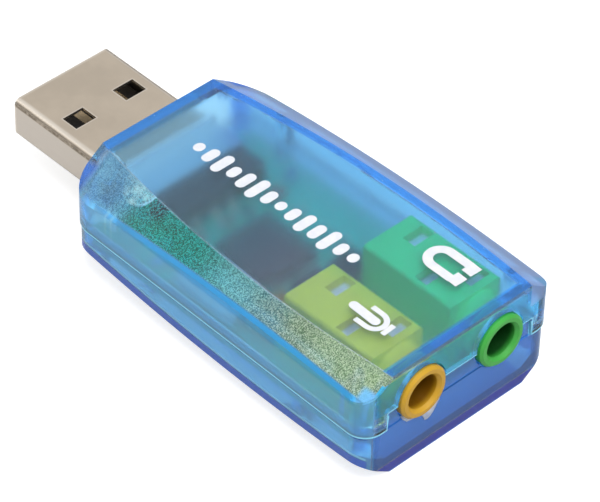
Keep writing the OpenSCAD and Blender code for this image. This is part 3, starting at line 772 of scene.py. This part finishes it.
def strip(line, w):
    """Band of even width along a line of points, with square ends."""
    left, right = [], []
    for i, (px, py) in enumerate(line):
        ax, ay = line[max(i - 1, 0)]
        bx, by = line[min(i + 1, len(line) - 1)]
        dx, dy = bx - ax, by - ay
        s = w / 2 / math.hypot(dx, dy)
        left.append((px - dy * s, py + dx * s))
        right.append((px + dy * s, py - dx * s))
    return left + list(reversed(right))


def arc(cx, cy, rx, ry, start, end, steps):
    """Points along an elliptical arc between two angles in degrees."""
    angles = (math.radians(start + (end - start) * i / steps) for i in range(steps + 1))
    return [(cx + rx * math.cos(a), cy + ry * math.sin(a)) for a in angles]


def level_bars():
    """A row of sound-level bars of changing length."""
    bars = []
    for i, length in enumerate(BAR_LENGTHS):
        px = BARS_X + i * BAR_PITCH
        reach = length / 2
        bars.append(capsule(px, BARS_Y - reach, px, BARS_Y + reach, BAR_W))
    return bars


def headphones():
    """A headband with a pad at each end."""
    band = [(21.5, 6.38)] + arc(19.0, 5.14, 1.25, 1.24, 90, 270, 20) + [(21.5, 3.9)]
    pads = [[(21.25, low), (22.45, low - 0.05), (22.5, high - 0.05), (21.3, high)]
            for low, high in ((5.42, 6.84), (3.5, 4.96))]
    return [strip(band, 0.95)] + pads


def microphone():
    """A capsule in its cup, with a foot."""
    cup = [(19.4, -3.85)] + arc(20.7, -4.95, 1.2, 1.1, 90, -90, 16) + [(19.4, -6.05)]
    foot = [(22.5, -5.7), (22.4, -4.15)]
    return [capsule(18.1, -4.9, 20.9, -5.0, 0.95), strip(cup, 0.55), strip(foot, 0.55)]


ink = ink_material()
printed("level_bars_print", level_bars(), ink)
printed("headphone_print", headphones(), ink)
printed("microphone_print", microphone(), ink)


# Dried glue

# Its outline under the microphone jack's nose: (place across the part, height)
GLUE = [(-7.25, 6.1), (-7.1, 5.6), (-6.65, 5.1), (-5.95, 4.95), (-5.35, 4.95), (-4.9, 4.75), (-4.6, 4.5),
        (-4.4, 4.1), (-4.25, 3.72), (-3.85, 3.65), (-3.5, 3.78), (-3.1, 4.2), (-2.75, 4.75), (-2.42, 5.2),
        (-2.5, 5.55), (-2.9, 5.9), (-3.6, 5.7), (-4.5, 5.55), (-5.6, 5.7), (-6.5, 6.2)]
# Its places along the part, reckoned from the lower half's end face
GLUE_FOOT = LOWER_END - 0.135
GLUE_SKIN = LOWER_END + 0.015
GLUE_TOP = LOWER_END + 0.125
GLUE_RINGS = 5
GLUE_RIPPLE = 0.015


def smear(name, outline, tree):
    """A low, uneven lump of glue on the end face. Its curved skin rises ring by ring to the middle."""
    cy = sum(py for py, pz in outline) / len(outline)
    cz = sum(pz for py, pz in outline) / len(outline)
    bm = bmesh.new()
    rings = []
    for k in range(GLUE_RINGS + 1):
        share = k / GLUE_RINGS
        size = 1.0 - 0.8 * share ** 2
        px = GLUE_FOOT if k == 0 else GLUE_TOP - (GLUE_TOP - GLUE_SKIN) * (1 - share) ** 2
        ripple = GLUE_RIPPLE if k > 1 else 0.0
        ring = [(px + ripple * math.sin(5 * i), cy + (py - cy) * size, cz + (pz - cz) * size)
                for i, (py, pz) in enumerate(outline)]
        rings.append(loop_at(bm, ring))
    for low, high in zip(rings, rings[1:]):
        wall_between(bm, low, high)
    bm.faces.new(rings[-1])
    bm.faces.new(list(reversed(rings[0])))
    bmesh.ops.recalc_face_normals(bm, faces=bm.faces)
    for f in bm.faces:
        f.smooth = True
    piece(name, bm, tree)


def glue_material():
    t = Tree("dried_glue")
    n = t.noise(1400, 4.0, 0.65)
    t.set(
        Base_Color=t.mix(t.ramp(n, 0.35, 0.65), (0.62, 0.7, 0.88), (0.8, 0.85, 0.92)),
        Transmission_Weight=t.ramp(n, 0.3, 0.7, 0.55, 0.25),
        Roughness=0.35,
        IOR=1.45,
    )
    t.bump(n, 0.05, 0.6)
    return t


smear("dried_glue", GLUE, glue_material())


# Stage

# The lights face this point, and the camera's place is reckoned from it. It is in metres.
CENTRE = Vector((4.675, 0, 5.8)) * MM
STAGE_HALF = 3000.0
STAGE_Z = -0.02


def stage_floor():
    """A wide pale floor that looks white to the camera and through the plastic."""
    t = Tree("floor_white")
    rays = t.nodes.new("ShaderNodeLightPath").outputs
    seen = t.math("ADD", t.most(rays["Is Camera Ray"], rays["Is Transmission Ray"]),
                  t.times(rays["Is Glossy Ray"], 0.1), clamp=True)
    t.set(
        Base_Color=t.mix(t.noise(40, 2.0, 0.5), (0.5, 0.5, 0.5), (0.47, 0.47, 0.47)),
        Roughness=0.9,
        Specular_IOR_Level=0.0,
        Emission_Color=(1.0, 1.0, 1.0),
        Emission_Strength=t.times(seen, 0.72),
    )
    bm = bmesh.new()
    signs = ((-1, -1), (1, -1), (1, 1), (-1, 1))
    bm.faces.new(loop_at(bm, [(sx * STAGE_HALF, sy * STAGE_HALF, STAGE_Z) for sx, sy in signs]))
    obj = new_object("floor", bm, t)


def studio_world():
    """An even room that looks white, and that reflections show with a darker band at the horizon."""
    world = bpy.data.worlds.new("studio")
    bpy.context.scene.world = world
    world.use_nodes = True
    nodes = world.node_tree.nodes
    links = world.node_tree.links
    background = next(n for n in nodes if n.type == "BACKGROUND")

    def choose(factor, a, b):
        """Value a where the factor is 0 and b where it is 1."""
        n = nodes.new("ShaderNodeMix")
        n.data_type = "FLOAT"
        for socket, value in ((n.inputs[0], factor), (n.inputs[2], a), (n.inputs[3], b)):
            if isinstance(value, float):
                socket.default_value = value
            else:
                links.new(value, socket)
        return n.outputs[0]

    rays = nodes.new("ShaderNodeLightPath").outputs
    seen = nodes.new("ShaderNodeMath")
    seen.operation = "MAXIMUM"
    links.new(rays["Is Camera Ray"], seen.inputs[0])
    links.new(rays["Is Transmission Ray"], seen.inputs[1])
    axes = nodes.new("ShaderNodeSeparateXYZ")
    links.new(nodes.new("ShaderNodeTexCoord").outputs["Generated"], axes.inputs["Vector"])
    horizon = nodes.new("ShaderNodeMapRange")
    horizon.interpolation_type = "SMOOTHSTEP"
    for name, value in (("From Min", 0.22), ("From Max", 0.42), ("To Min", 0.12), ("To Max", 0.7)):
        horizon.inputs[name].default_value = value
    links.new(axes.outputs["Z"], horizon.inputs["Value"])
    room = choose(rays["Is Glossy Ray"], 0.7, horizon.outputs["Result"])
    links.new(choose(seen.outputs[0], room, 1.0), background.inputs["Strength"])
    background.inputs["Color"].default_value = (1, 1, 1, 1)


def area_light(name, direction, distance, size, power):
    """A square lamp that faces the part; distance and size are in metres, power is in watts."""
    data = bpy.data.lights.new(name, "AREA")
    data.shape = "SQUARE"
    data.size = size
    data.energy = power
    obj = bpy.data.objects.new(name, data)
    bpy.context.scene.collection.objects.link(obj)
    v = Vector(direction).normalized()
    obj.location = CENTRE + v * distance
    obj.rotation_euler = v.to_track_quat("Z", "Y").to_euler()


stage_floor()
studio_world()
area_light("key", (0.4, -0.1, 1.0), 0.45, 0.3, 1.8)
area_light("fill", (-0.9, -0.3, 0.35), 0.6, 0.4, 0.6)


# Camera, fitted to the photograph

CAMERA_TURN = (45.7287, 42.2891, 1.4322)      # azimuth, elevation and roll in degrees
CAMERA_PLACE = (0.9811, 0.5138, 350.4962)     # right of the centre, above it and away from it
CAMERA_LENS = 228.26


def camera():
    azimuth, elevation, roll = (math.radians(a) for a in CAMERA_TURN)
    back = Vector((math.sin(azimuth) * math.cos(elevation), -math.cos(azimuth) * math.cos(elevation),
                   math.sin(elevation)))
    level_right = Vector((math.cos(azimuth), math.sin(azimuth), 0))
    level_up = back.cross(level_right)
    right = math.cos(roll) * level_right + math.sin(roll) * level_up
    up = -math.sin(roll) * level_right + math.cos(roll) * level_up
    to_right, to_up, away = CAMERA_PLACE
    data = bpy.data.cameras.new("camera")
    data.sensor_width = 36.0
    data.lens = CAMERA_LENS
    data.clip_start = 0.01
    obj = bpy.data.objects.new("camera", data)
    bpy.context.scene.collection.objects.link(obj)
    pose = Matrix((right, up, back)).transposed().to_4x4()
    pose.translation = CENTRE + (right * to_right + up * to_up + back * away) * MM
    obj.matrix_world = pose
    bpy.context.scene.camera = obj


camera()
bpy.context.scene.view_settings.view_transform = "Standard"
